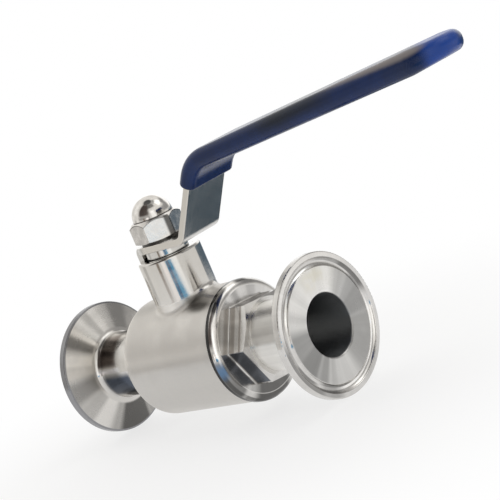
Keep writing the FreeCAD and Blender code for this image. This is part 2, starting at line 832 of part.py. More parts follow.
def add_trim(sketch, sign, half, side, shoulder, beyond, outside, zero):
    """The corner outside the plate's round rear end, on one side of the tongue."""
    corners = [(zero, half * sign), (zero, outside * sign), (-beyond, outside * sign)]
    corners += [(-beyond, side * sign), (-shoulder, side * sign)]
    runs = [
        sketch.addGeometry(Part.LineSegment(vector(a), vector(b))) for a, b in zip(corners, corners[1:])
    ]
    circle = Part.Circle(FreeCAD.Vector(0, 0, 0), FreeCAD.Vector(0, 0, 1), half.value)
    first = math.pi / 2 if sign > 0 else math.atan2(-side.value, -shoulder.value) + 2 * math.pi
    last = math.atan2(side.value, -shoulder.value) if sign > 0 else 3 * math.pi / 2
    arc = sketch.addGeometry(Part.ArcOfCircle(circle, first, last))
    at_top, at_side = (1, 2) if sign > 0 else (2, 1)
    for n in range(len(runs) - 1):
        sketch.addConstraint(Sketcher.Constraint("Coincident", runs[n], 2, runs[n + 1], 1))
    sketch.addConstraint(Sketcher.Constraint("Coincident", runs[0], 1, arc, at_top))
    sketch.addConstraint(Sketcher.Constraint("Coincident", runs[-1], 2, arc, at_side))
    sketch.addConstraint(Sketcher.Constraint("Coincident", arc, 3, -1, 1))
    for n in (0, 1, 2, 3):
        place(sketch, runs[n], 1, corners[n])
    bind(sketch, "DistanceY", side * sign, -1, 1, runs[-1], 2)


def tilted_sketch(body, name, point, angle):
    """A sketch square to a direction that rises at the angle, centred on a point of the XZ plane."""
    sketch = new_sketch(body, name, "XY_Plane")
    lean = as_size(90) - angle
    turn = FreeCAD.Rotation(FreeCAD.Vector(0, 1, 0), lean.value)
    base = FreeCAD.Vector(point[0].value, 0, point[1].value)
    sketch.AttachmentOffset = FreeCAD.Placement(base, turn)
    sketch.setExpression(".AttachmentOffset.Base.x", point[0].text)
    sketch.setExpression(".AttachmentOffset.Base.z", point[1].text)
    sketch.setExpression(".AttachmentOffset.Rotation.Angle", lean.text)
    return sketch


def handle_sweep(body, name, start, end):
    """Cuts the strip's room from a point of the upright round the bend to an end on the handle."""
    corners = [up_the_upright(start), up_the_upright(s.upright_length), along_handle(end)]
    path = bent_path(body, name + "_path", corners, [s.upper_bend])
    section = tilted_sketch(body, name + "_section", corners[0], s.upright_angle)
    across = s.strip_thickness / 2
    half = s.strip_width / 2
    add_outline(section, [(-across, -half), (across, -half), (across, half), (-across, half)])
    doc.recompute()
    return swept(body, name, section, path, True)


def on_the_grip(side):
    """Corners of the grip's side view, side 1 outside the bend and -1 inside: mouth, bend, nose and tip."""
    wall = s.grip_outer_wall if side > 0 else s.grip_inner_wall
    offset = (s.strip_thickness / 2 + wall) * side
    run, climb = cosine(s.upright_angle), sine(s.upright_angle)
    start = up_the_upright(s.grip_start)
    mouth = (start[0] - offset * climb, start[1] + offset * run)
    corner = up_the_upright(s.upright_length)
    root_half = (s.grip_root_top if side > 0 else s.grip_root_bottom) * side
    nose_half = (s.grip_nose_top if side > 0 else s.grip_nose_bottom) * side
    nose_at = s.grip_end - s.grip_nose_length
    slope = tangent(s.handle_angle) + (nose_half - root_half) / (nose_at - corner[0])
    level = corner[1] + root_half
    length = (level + slope * (mouth[0] - corner[0]) - mouth[1]) / (climb - slope * run)
    bend = (mouth[0] + length * run, mouth[1] + length * climb)
    nose = (nose_at, level + slope * (nose_at - corner[0]))
    tip = (s.grip_end, along_handle(s.grip_end)[1] + s.grip_tip_half * side)
    return [mouth, bend, nose, tip]


def make_grip():
    """Dipped sleeve over the handle, thicker towards its closed round tip, its mouth low on the bend."""
    body = new_body("lever_grip")
    outer = on_the_grip(1)
    inner = on_the_grip(-1)
    sketch = new_sketch(body, "side_outline", "XZ_Plane")
    add_outline(sketch, outer + inner[::-1])
    extruded(body, "sleeve", sketch, s.grip_width, both_ways=True)

    def across_at(point):
        def wanted(edge):
            box = edge.BoundBox
            across = box.YLength > s.grip_width.value - 0.01 and box.XLength < 0.01
            here = abs(box.XMin - point[0].value) < 0.01 and abs(box.ZMin - point[1].value) < 0.01
            return across and here
        return wanted

    dress(body, "Fillet", "outer_bend", s.grip_outer_bend, across_at(outer[1]))
    dress(body, "Fillet", "inner_bend", s.grip_inner_bend, across_at(inner[1]))

    def tip_corner(edge):
        box = edge.BoundBox
        return box.XMin > s.grip_end.value - 0.01 and box.YLength < 0.01

    tip_rounding = (s.grip_width - s.grip_tip_flat) / 2
    dress(body, "Fillet", "tip_rounding", tip_rounding, tip_corner)
    mouth = FreeCAD.Vector(outer[0][0].value, 0, outer[0][1].value)
    climb = math.radians(s.upright_angle.value)
    rising = FreeCAD.Vector(math.cos(climb), 0, math.sin(climb))

    def at_mouth(edge):
        return all(abs((end.Point - mouth).dot(rising)) < 0.01 for end in edge.Vertexes)

    def long_edge(edge):
        box = edge.BoundBox
        on_side = box.YLength < 0.01 and box.XLength > tip_rounding.value
        at_tip = box.YLength > 0.01 and s.grip_end.value - box.XMin < tip_rounding.value * 1.05
        return on_side or at_tip

    dress(body, "Fillet", "edge_rounding", s.grip_rounding, long_edge)
    dress(body, "Fillet", "mouth_rounding", s.grip_mouth_rounding, at_mouth)
    handle_sweep(body, "strip_pocket", s.grip_start - s.grip_rounding, s.strip_end)
    return body


# Washer and nut

def make_washer():
    body = new_body("lever_washer")
    inner = s.stud_diameter / 2 + s.washer_play
    outer = s.washer_diameter / 2
    low = plate_top()
    high = low + s.washer_thickness
    turned(body, "ring", [(inner, low), (outer, low), (outer, high), (inner, high)], axis="V_Axis")
    return body


def make_nut():
    """Domed nut: chamfered hexagon, dome on a short round neck and a blind hole for the stud."""
    body = new_body("acorn_nut")
    low = plate_top() + s.washer_thickness
    high = low + s.nut_hexagon_height
    sketch = new_sketch(body, "hexagon_outline", "XY_Plane", low)
    add_outline(sketch, hexagon(s.nut_width, s.nut_turn_angle))
    extruded(body, "hexagon", sketch, s.nut_hexagon_height)

    face = s.nut_face_diameter / 2
    far = s.nut_width
    drop = (far - face) * tangent(s.nut_upper_angle)
    turned(body, "upper_chamfer", [(face, high), (far, high), (far, high - drop)], "V_Axis", True)
    climb = (far - face) * tangent(s.nut_lower_angle)
    turned(body, "lower_chamfer", [(face, low), (far, low + climb), (far, low)], "V_Axis", True)

    sketch = new_sketch(body, "dome_outline", "XZ_Plane")
    add_dome(sketch, high, s.dome_top - s.dome_radius, s.dome_radius)
    turn_sketch(body, "dome", sketch, "V_Axis", False)

    zero = as_size(0)
    hole = s.stud_diameter / 2 + s.nut_clearance
    floor = s.stud_top + s.nut_hole_spare
    point = floor + hole * tangent(s.nut_point_angle)
    drilled = [(zero, low), (hole, low), (hole, floor), (zero, point)]
    turned(body, "stud_hole", drilled, "V_Axis", True)
    return body


def add_dome(sketch, low, centre, radius):
    """Half outline of a dome: a round neck from low up to the centre's height, then a quarter circle."""
    circle = Part.Circle(vector((0, centre)), FreeCAD.Vector(0, 0, 1), radius.value)
    arc = sketch.addGeometry(Part.ArcOfCircle(circle, 0, math.pi / 2))
    corners = [(as_size(0), centre + radius), (as_size(0), low), (radius, low), (radius, centre)]
    lines = [
        sketch.addGeometry(Part.LineSegment(vector(a), vector(b))) for a, b in zip(corners, corners[1:])
    ]
    sketch.addConstraint(Sketcher.Constraint("Coincident", arc, 2, lines[0], 1))
    sketch.addConstraint(Sketcher.Constraint("Coincident", lines[0], 2, lines[1], 1))
    sketch.addConstraint(Sketcher.Constraint("Coincident", lines[1], 2, lines[2], 1))
    sketch.addConstraint(Sketcher.Constraint("Tangent", lines[2], 2, arc, 1))
    sketch.addConstraint(Sketcher.Constraint("PointOnObject", lines[0], 1, -2))
    sketch.addConstraint(Sketcher.Constraint("PointOnObject", lines[0], 2, -2))
    sketch.addConstraint(Sketcher.Constraint("Horizontal", lines[1]))
    sketch.addConstraint(Sketcher.Constraint("Vertical", lines[2]))
    sketch.addConstraint(Sketcher.Constraint("PointOnObject", arc, 3, -2))
    bind(sketch, "DistanceY", low, -1, 1, lines[1], 1)
    bind(sketch, "DistanceY", centre, -1, 1, arc, 3)
    bind(sketch, "Radius", radius, arc)


# All pieces

def make_pieces():
    rear = as_size(-1)
    front = as_size(1)
    first = s.packing_floor
    second = first + s.packing_ring_height
    third = second + s.packing_ring_height
    return [
        make_valve_body(), make_end_cap(), make_ball(), make_seat("rear_seat", rear),
        make_seat("front_seat", front), make_body_gasket(), make_stem(), make_thrust_washer(),
        make_stem_ring(),
        make_packing_ring("bottom_packing_ring", first, ridge_below=False, ridge_above=True),
        make_packing_ring("middle_packing_ring", second, ridge_below=True, ridge_above=True),
        make_packing_ring("top_packing_ring", third, ridge_below=True, ridge_above=False),
        make_gland(), make_lever(), make_grip(), make_washer(), make_nut(),
    ]


def check(pieces):
    """Stops if anything in the document failed or a piece isn't one valid solid."""
    doc.recompute()
    for item in doc.Objects:
        if "Invalid" in item.State or "Error" in item.State:
            raise RuntimeError(f"{item.Label}: {item.State}")
    for piece in pieces:
        shape = piece.Shape
        if shape.isNull() or not shape.isValid() or len(shape.Solids) != 1:
            raise RuntimeError(f"{piece.Label} is not one valid solid")


pieces = make_pieces()
check(pieces)
os.makedirs("parts", exist_ok=True)
for piece in pieces:
    piece.Shape.exportStep(f"parts/{piece.Label}.step")
    print(f"{piece.Label}: {piece.Shape.Volume:.1f} cubic millimetres")
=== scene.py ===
import math

import bpy
import numpy as np
from mathutils import Matrix, Vector

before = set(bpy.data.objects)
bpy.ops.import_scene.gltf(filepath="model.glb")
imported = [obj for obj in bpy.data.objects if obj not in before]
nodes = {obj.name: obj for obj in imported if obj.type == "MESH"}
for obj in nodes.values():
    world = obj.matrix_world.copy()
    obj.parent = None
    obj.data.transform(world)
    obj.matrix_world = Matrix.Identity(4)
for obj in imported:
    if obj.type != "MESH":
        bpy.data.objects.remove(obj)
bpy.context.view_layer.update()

scene = bpy.context.scene
scene.view_settings.view_transform = "Standard"


# camera

cameraPlan = {
    "place": (0.420135, -0.380402, 0.117144),
    "right": (0.693586, 0.609149, -0.384547),
    "up": (0.172734, 0.377609, 0.909711),
    "back": (0.699358, -0.697387, 0.156684),
    "lens": 114.353,
    "sensor": 36.0,
    "clip": (0.01, 20.0),
}


def makeCamera(plan):
    camera = bpy.data.objects.new("camera", bpy.data.cameras.new("camera"))
    columns = Matrix((plan["right"], plan["up"], plan["back"])).transposed()
    camera.matrix_world = Matrix.Translation(plan["place"]) @ columns.to_4x4()
    camera.data.lens = plan["lens"]
    camera.data.sensor_width = plan["sensor"]
    camera.data.clip_start, camera.data.clip_end = plan["clip"]
    scene.collection.objects.link(camera)
    scene.camera = camera


makeCamera(cameraPlan)
print("camera placed")


# short names for nodes: each one gives back the socket that carries its result

def plug(tree, node, inputs):
    for key, value in inputs.items():
        if isinstance(value, bpy.types.NodeSocket):
            tree.links.new(value, node.inputs[key])
        else:
            node.inputs[key].default_value = value


def addNode(tree, kind, inputs=None, **settings):
    node = tree.nodes.new(kind)
    for key, value in settings.items():
        setattr(node, key, value)
    plug(tree, node, inputs or {})
    return node


def maths(tree, operation, *values, clamp=False):
    return addNode(tree, "ShaderNodeMath", dict(enumerate(values)), operation=operation, use_clamp=clamp).outputs[0]


def add(tree, total, *others):
    for other in others:
        total = maths(tree, "ADD", total, other)
    return total


def times(tree, product, *others):
    for other in others:
        product = maths(tree, "MULTIPLY", product, other)
    return product


def vectorMaths(tree, operation, *values):
    return addNode(tree, "ShaderNodeVectorMath", dict(enumerate(values)), operation=operation).outputs[0]


def rise(tree, value, low, high, start=0.0, end=1.0):
    # start below low, end above high, and a smooth step between them
    inputs = {"Value": value, "From Min": low, "From Max": high, "To Min": start, "To Max": end}
    return addNode(tree, "ShaderNodeMapRange", inputs, interpolation_type="SMOOTHSTEP").outputs[0]


def fall(tree, value, low, high, end=0.0):
    # the same smooth step, from one below low down to end above high
    return rise(tree, value, low, high, 1.0, end)


def within(tree, value, low, high, soft):
    # one between low and high, fading over the soft width at both ends
    inside = rise(tree, value, low - soft / 2, low + soft / 2)
    return times(tree, inside, fall(tree, value, high - soft / 2, high + soft / 2))


def degreesRound(tree, first, second):
    # angle round an axis, from its first direction towards its second
    return times(tree, maths(tree, "ARCTAN2", second, first), 180 / math.pi)


def sector(tree, angle, centre, width, soft):
    # one within the width on both sides of the centre, nothing outside, soft over the given degrees
    turn = maths(tree, "WRAP", maths(tree, "SUBTRACT", angle, float(centre)), 180.0, -180.0)
    return fall(tree, maths(tree, "ABSOLUTE", turn), width - soft / 2, width + soft / 2)


def mixColors(tree, factor, first, second, blend="MIX"):
    inputs = {0: factor, 6: first, 7: second}
    return addNode(tree, "ShaderNodeMix", inputs, data_type="RGBA", blend_type=blend).outputs[2]


def mixValues(tree, factor, first, second):
    return addNode(tree, "ShaderNodeMix", {0: factor, 2: first, 3: second}, data_type="FLOAT").outputs[0]


def noise(tree, vector, scale, detail=2.0, roughness=0.5):
    inputs = {"Vector": vector, "Scale": scale, "Detail": detail, "Roughness": roughness}
    return addNode(tree, "ShaderNodeTexNoise", inputs).outputs[0]


def spread(tree, texture, start=0.0, end=1.0):
    # the middle of a noise's range, stretched from start to end
    return rise(tree, texture, 0.3, 0.7, start, end)


def joined(tree, x, y, z):
    return addNode(tree, "ShaderNodeCombineXYZ", {0: x, 1: y, 2: z}).outputs[0]


def parted(tree, vector):
    return list(addNode(tree, "ShaderNodeSeparateXYZ", {0: vector}).outputs)


def objectPlace(tree):
    return addNode(tree, "ShaderNodeTexCoord").outputs["Object"]


def millimetres(tree):
    inputs = {0: objectPlace(tree), "Scale": 1000.0}
    return addNode(tree, "ShaderNodeVectorMath", inputs, operation="SCALE").outputs[0]


def bump(tree, height, distance):
    # distance is the height of a full white step, in millimetres
    inputs = {"Height": height, "Distance": distance / 1000, "Strength": 1.0}
    return addNode(tree, "ShaderNodeBump", inputs).outputs[0]


def newMaterial(name):
    material = bpy.data.materials.new(name)
    material.use_nodes = True
    tree = material.node_tree
    tree.nodes.clear()
    shader = addNode(tree, "ShaderNodeBsdfPrincipled")
    addNode(tree, "ShaderNodeOutputMaterial", {"Surface": shader.outputs[0]})
    return material, tree, shader


def tinted(colour, factor):
    return tuple(min(1.0, part * factor) for part in colour[:3]) + (1.0,)


def mottled(tree, amount, base, darker, lighter):
    # the base colour, from a little darker to a little lighter
    return mixColors(tree, amount, tinted(base, darker), tinted(base, lighter))


# studio: a white tent with a few darker openings, told apart by direction alone

studio = {
    "walls": (0.84, 0.825, 0.795, 1),
    # middle azimuth from +X and elevation, half width, half height, softness, colour
    "patches": [
        (0, 84, 200, 12, 8, (0.09, 0.09, 0.09, 1)),
        (36, 66, 40, 7, 6, (0.46, 0.455, 0.45, 1)),
        (-36, 60, 34, 12, 8, (0.20, 0.195, 0.19, 1)),
        (48, 48, 22, 12, 8, (1.5, 1.5, 1.48, 1)),
        (-162, 36, 14, 16, 10, (1.0, 0.99, 0.96, 1)),
        (-96, 4, 36, 6, 6, (0.40, 0.39, 0.38, 1)),
        (-93, 45, 35, 32, 22, (0.08, 0.065, 0.06, 1)),
        (-36, 10, 12, 22, 8, (1.2, 1.2, 1.18, 1)),
        (42, 13, 42, 12, 8, (0.37, 0.365, 0.36, 1)),
        (78, 30, 18, 8, 8, (0.36, 0.355, 0.35, 1)),
        (122, 12, 28, 13, 8, (1.25, 1.25, 1.25, 1)),
        (99, -18, 37, 16, 8, (0.11, 0.15, 0.19, 1)),
        (-162, -9, 9, 12, 6, (0.58, 0.57, 0.55, 1)),
        (-76, -9, 7, 14, 4, (1.15, 1.10, 1.08, 1)),
        (-97, -9, 5, 14, 6, (0.26, 0.21, 0.17, 1)),
    ],
}


def patchMask(tree, azimuth, elevation, centre, height, width, tall, soft):
    apart = maths(tree, "ABSOLUTE", maths(tree, "SUBTRACT", elevation, float(height)))
    across = sector(tree, azimuth, centre, width, soft)
    return times(tree, across, fall(tree, apart, tall - soft / 2, tall + soft / 2))


def makeWorld(plan):
    world = bpy.data.worlds.new("studio")
    scene.world = world
    world.use_nodes = True
    tree = world.node_tree
    tree.nodes.clear()
    direction = addNode(tree, "ShaderNodeTexCoord").outputs["Generated"]
    x, y, z = parted(tree, vectorMaths(tree, "NORMALIZE", direction))
    azimuth = degreesRound(tree, x, y)
    elevation = times(tree, maths(tree, "ARCSINE", z), 180 / math.pi)
    colour = plan["walls"]
    for *patch, shade in plan["patches"]:
        colour = mixColors(tree, patchMask(tree, azimuth, elevation, *patch), colour, shade)
    rays = addNode(tree, "ShaderNodeLightPath").outputs
    colour = mixColors(tree, rays["Is Camera Ray"], colour, (1, 1, 1, 1))
    back = addNode(tree, "ShaderNodeBackground", {"Color": colour, "Strength": 1.0})
    addNode(tree, "ShaderNodeOutputWorld", {"Surface": back.outputs[0]})


makeWorld(studio)

lamp = {"name": "overhead_lamp", "place": (0.14, 0.16, 0.75), "aim": (0.03, 0, 0.02), "size": 0.6, "power": 1.6}


def makeLamp(plan):
    light = bpy.data.objects.new(plan["name"], bpy.data.lights.new(plan["name"], "AREA"))
    light.data.size = plan["size"]
    light.data.energy = plan["power"]
    light.location = plan["place"]
    toward = Vector(plan["aim"]) - Vector(plan["place"])
    light.rotation_euler = toward.to_track_quat("-Z", "Y").to_euler()
    light.visible_glossy = False
    scene.collection.objects.link(light)


makeLamp(lamp)


def makePiece(name, points, faces, material):
    mesh = bpy.data.meshes.new(name)
    mesh.from_pydata(np.asarray(points).tolist(), [], [list(face) for face in faces])
    mesh.polygons.foreach_set("use_smooth", np.full(len(mesh.polygons), True))
    mesh.update()
    piece = bpy.data.objects.new(name, mesh)
    piece.data.materials.append(material)
    scene.collection.objects.link(piece)
    return piece


def mattPaper(name, plan):
    # paper with a fine grain between two shades: its noise is scale and detail
    material, tree, shader = newMaterial(name)
    grain = noise(tree, objectPlace(tree), *plan["grain"])
    plug(tree, shader, {
        "Base Color": mixColors(tree, grain, plan["dark"], plan["light"]),
        "Roughness": 0.9, "Specular IOR Level": 0.1,
    })
    return material, tree, shader


floorPlan = {
    "level": -0.02526, "middle": (0.01, -0.01), "radius": 0.30, "rings": 24, "spokes": 96,
    "grain": (900.0, 3.0), "dark": (0.93, 0.93, 0.93, 1), "light": (0.96, 0.96, 0.96, 1),
    # how far from the middle the backdrop starts and is reached, and its share there
    "near": 0.05, "far": 0.20, "glow": 0.72,
}


def makeFloor(plan):
    # a disc of rings: each ring's radius is the outer one times its share of the way
    spokes = plan["spokes"]
    steps = np.linspace(0, 1, plan["rings"])[1:] * plan["radius"]
    ring, angle = np.meshgrid(steps, np.arange(spokes) / spokes * 2 * np.pi, indexing="ij")
    x = plan["middle"][0] + ring * np.cos(angle)
    y = plan["middle"][1] + ring * np.sin(angle)
    points = np.stack([x, y, np.full_like(x, plan["level"])], -1).reshape(-1, 3)
    points = np.vstack([points, [[*plan["middle"], plan["level"]]]])
    here = np.arange(spokes)
    beside = (here + 1) % spokes
    row = np.arange(len(steps) - 1)[:, None] * spokes
    first, second = row + here, row + beside
    faces = np.stack([first, first + spokes, second + spokes, second], -1).reshape(-1, 4).tolist()
    faces += np.stack([np.full(spokes, len(points) - 1), here, beside], -1).tolist()

    material, tree, shader = mattPaper("floor_paper", plan)
    # away from the object the paper turns into the white backdrop, for every ray that sees one
    px, py = parted(tree, vectorMaths(tree, "SUBTRACT", objectPlace(tree), (*plan["middle"], 0)))[:2]
    away = maths(tree, "SQRT", add(tree, times(tree, px, px), times(tree, py, py)))
    rays = addNode(tree, "ShaderNodeLightPath").outputs
    seen = add(tree, rays["Is Camera Ray"], rays["Is Glossy Ray"])
    seen = maths(tree, "ADD", seen, rays["Is Transmission Ray"], clamp=True)
    white = times(tree, seen, rise(tree, away, plan["near"], plan["far"], plan["glow"]))
    glow = addNode(tree, "ShaderNodeEmission", {"Color": (1, 1, 1, 1), "Strength": 1.0})
    blend = addNode(tree, "ShaderNodeMixShader", {0: white, 1: shader.outputs[0], 2: glow.outputs[0]})
    output = [n for n in tree.nodes if n.type == "OUTPUT_MATERIAL"][0]
    tree.links.new(blend.outputs[0], output.inputs["Surface"])
    makePiece("floor", points, faces, material)


makeFloor(floorPlan)

# dark cards lying round the valve, which only the metal's reflections see: four corners, then two shades
cards = {
    "blue_card": {
        "corners": [(0.082, -0.204), (0.190, -0.110), (0.244, -0.548), (0.386, -0.460)], "lift": 0.0006,
        "dark": (0.05, 0.38, 0.72, 1), "light": (0.10, 0.48, 0.82, 1), "grain": (60.0,),
    },
    "deep_blue_card": {
        "corners": [(0.093, -0.200), (0.129, -0.178), (0.263, -0.539), (0.340, -0.494)], "lift": 0.0012,
        "dark": (0.02, 0.14, 0.32, 1), "light": (0.04, 0.20, 0.42, 1), "grain": (60.0,),
    },
    "slate_card": {
        "corners": [(0.012, 0.050), (0.058, 0.050), (0.012, 0.120), (0.058, 0.120)], "lift": 0.0006,
        "dark": (0.07, 0.10, 0.13, 1), "light": (0.12, 0.16, 0.20, 1), "grain": (60.0,),
    },
}


def makeCard(name, plan, level, count=9):
    # a flat sheet: each point is its share of the way between two sides, themselves between two corners
    corners = np.array(plan["corners"]).reshape(2, 2, 2)
    share = np.linspace(0, 1, count)
    u, v = np.meshgrid(share, share, indexing="ij")
    u, v = u[..., None], v[..., None]
    near = corners[0, 0] * (1 - u) + corners[0, 1] * u
    far = corners[1, 0] * (1 - u) + corners[1, 1] * u
    flat = near * (1 - v) + far * v
    points = np.concatenate([flat, np.full((count, count, 1), level + plan["lift"])], -1).reshape(-1, 3)
    cell = np.arange(count - 1)
    corner = (cell[:, None] * count + cell).reshape(-1)
    faces = np.stack([corner, corner + count, corner + count + 1, corner + 1], -1).tolist()
    card = makePiece(name, points, faces, mattPaper(name, plan)[0])
    card.visible_camera = False
    card.visible_diffuse = False
    card.visible_shadow = False


for cardName, cardPlan in cards.items():
    makeCard(cardName, cardPlan, floorPlan["level"])
print("studio built")


# finishes: the tuples named for a place are where its edge fades, from and to, or from, to and the softness
# of both ends, in millimetres along X, up Z or out from an axis

def cylinder(tree, place, axis):
    # how far along the axis and how far from it, and the two directions across it
    x, y, z = parted(tree, place)
    along, first, second = (x, y, z) if axis == "x" else (z, x, y)
    square = add(tree, times(tree, first, first), times(tree, second, second))
    return along, maths(tree, "SQRT", square), first, second


def turnedLines(tree, along, radius, first, second, fine, turn, detail):
    # noise in four dimensions: fine along and outwards, slow round the axis, with no seam
    inputs = {
        "Vector": joined(
            tree, times(tree, along, fine), times(tree, radius, fine),
            times(tree, maths(tree, "DIVIDE", first, radius), turn),
        ),
        "W": times(tree, maths(tree, "DIVIDE", second, radius), turn),
        "Scale": 1.0, "Detail": detail,
    }
    return addNode(tree, "ShaderNodeTexNoise", inputs, noise_dimensions="4D").outputs[0]


def zoneValues(tree, start, zones):
    # each zone's mask lays its value over what is there
    value = start
    for mask, level in zones:
        value = mixValues(tree, mask, value, level)
    return value


def paintedReflectionFan(tree, first, second, streaks):
    # painted reflections: the angle round the axis picks a soft factor: middle, half width, softness, factor
    angle = degreesRound(tree, first, second)
    return zoneValues(tree, 1.0, [(sector(tree, angle, *span), factor) for *span, factor in streaks])


def tangentRound(tree, place, axis):
    direction = (1, 0, 0) if axis == "x" else (0, 0, 1)
    return vectorMaths(tree, "CROSS_PRODUCT", direction, place)


bodyFinish = {
    # the rim colour is a painted dark reflection on the rear ferrule's outer rim
    "base": (0.655, 0.64, 0.615, 1), "warm": (0.70, 0.665, 0.62, 1), "rim": (0.30, 0.30, 0.31, 1),
    # roughness of the barrel, the neck, the tube and the ferrule's back
    "satin": 0.40, "neck": 0.11, "tube": 0.10, "back": 0.24,
    "lines": (5.0, 1.6, 3.0), "line_height": 0.0016, "line_rough": (-0.015, 0.025),
    "cloud": (0.11, 4.0, 0.55), "cloud_rough": (-0.045, 0.045), "cloud_shade": (0.965, 1.04),
    "grain": (2.2, 3.0, 0.6), "warm_grain": (0.35, 0.65, 0.0, 0.5),
    "neck_foot": (21.5, 23.0), "neck_reach": (14.5, 17.0), "tube_end": (-26.5, -25.5), "back_end": (-51.5, -48.5),
    "cone_reach": (14.2, 15.2), "cone_end": (-45.5, -44.5), "barrel_end": (-34.0, -32.0),
    "tube_reach": (14.0, 14.6), "rim_reach": (24.4, 24.7), "rim_end": (-53.6, -53.4),
    # painted reflection streaks of the ferrule's back and of the barrel: middle and half width from +Y towards +Z,
    # softness, factor
    "cone_fan": [
        (62, 11, 10, 0.7), (80, 6, 8, 1.2), (93, 8, 8, 1.4), (101, 4, 6, 0.95), (116, 9, 8, 1.5), (133, 6, 6, 0.55),
        (151, 7, 8, 1.4), (166, 8, 8, 1.15), (183, 11, 12, 0.55), (205, 9, 10, 0.77), (222, 8, 8, 1.15),
        (241, 7, 8, 0.67), (265, 20, 8, 0.2), (292, 8, 8, 0.55),
    ],
    "barrel_fan": [(142, 30, 16, 1.35), (205, 24, 16, 0.97)],
    # along X from and to, middle angle, half width and softness, colour: brown, bright and dark blue
    "tube_bands": [
        (-48.3, -39.5, (130, 33, 16), (0.20, 0.17, 0.15, 1)), (-49.0, -38.0, (171, 4, 5), (0.96, 0.96, 0.98, 1)),
        (-48.3, -33.5, (203, 23, 16), (0.075, 0.09, 0.12, 1)),
    ],
    "band_soft": 2.8,
    # painted shade in the corner at the neck's foot, on the side of the cap
    "corner": (0.20, 0.19, 0.17, 1), "corner_height": (17.6, 22.6, 1.6), "corner_reach": (10.5, 22.5, 4.0),
    "corner_side": (-36, 11, 14), "corner_share": 0.8,
}


def bodySteel(plan):
    # satin barrel, polished neck and tube, and a ferrule with painted reflection streaks on its back
    material, tree, shader = newMaterial("body_steel")
    place = millimetres(tree)
    x, radius, y, z = cylinder(tree, place, "x")
    up, stemRadius, first, second = cylinder(tree, place, "z")
    neck = times(tree, rise(tree, z, *plan["neck_foot"]), fall(tree, stemRadius, *plan["neck_reach"]))
    lines = mixValues(
        tree, neck, turnedLines(tree, x, radius, y, z, *plan["lines"]),
        turnedLines(tree, up, stemRadius, first, second, *plan["lines"]),
    )
    cloud = noise(tree, place, *plan["cloud"])
    grain = noise(tree, place, *plan["grain"])
    rough = zoneValues(tree, plan["satin"], [
        (neck, plan["neck"]), (fall(tree, x, *plan["tube_end"]), plan["tube"]),
        (fall(tree, x, *plan["back_end"]), plan["back"]),
    ])
    rough = add(tree, rough, spread(tree, cloud, *plan["cloud_rough"]), spread(tree, lines, *plan["line_rough"]))
    colour = mottled(tree, spread(tree, cloud), plan["base"], *plan["cloud_shade"])
    colour = mixColors(tree, rise(tree, grain, *plan["warm_grain"]), colour, plan["warm"])
    cone = times(tree, rise(tree, radius, *plan["cone_reach"]), fall(tree, x, *plan["cone_end"]))
    barrel = times(tree, rise(tree, x, *plan["barrel_end"]), fall(tree, neck, 0.0, 1.0))
    # painted reflection streaks on the ferrule's back cone and on the barrel
    fan = zoneValues(tree, 1.0, [
        (cone, paintedReflectionFan(tree, y, z, plan["cone_fan"])), (barrel, paintedReflectionFan(tree, y, z, plan["barrel_fan"])),
    ])
    colour = mixColors(tree, 1.0, colour, fan, "MULTIPLY")
    # what the tube behind the cone reflects
    angle = degreesRound(tree, y, z)
    tube = fall(tree, radius, *plan["tube_reach"])
    for low, high, span, shade in plan["tube_bands"]:
        band = times(tree, within(tree, x, low, high, plan["band_soft"]), tube, sector(tree, angle, *span))
        colour = mixColors(tree, band, colour, shade)
    # painted dark reflection on the rear ferrule's outer rim
    rim = times(tree, rise(tree, radius, *plan["rim_reach"]), fall(tree, x, *plan["rim_end"]))
    colour = mixColors(tree, rim, colour, plan["rim"])
    # painted shade in the corner at the neck's foot
    corner = times(
        tree, within(tree, z, *plan["corner_height"]), within(tree, stemRadius, *plan["corner_reach"]),
        sector(tree, degreesRound(tree, first, second), *plan["corner_side"]), plan["corner_share"],
    )
    colour = mixColors(tree, corner, colour, plan["corner"])
    across = [tangentRound(tree, place, axis) for axis in "xz"]
    tangent = addNode(tree, "ShaderNodeMix", {0: neck, 4: across[0], 5: across[1]}, data_type="VECTOR").outputs[1]
    plug(tree, shader, {
        "Base Color": colour, "Metallic": 1.0, "Roughness": rough, "Anisotropic": 0.85,
        "Anisotropic Rotation": 0.25, "Tangent": tangent, "Normal": bump(tree, lines, plan["line_height"]),
    })
    return material


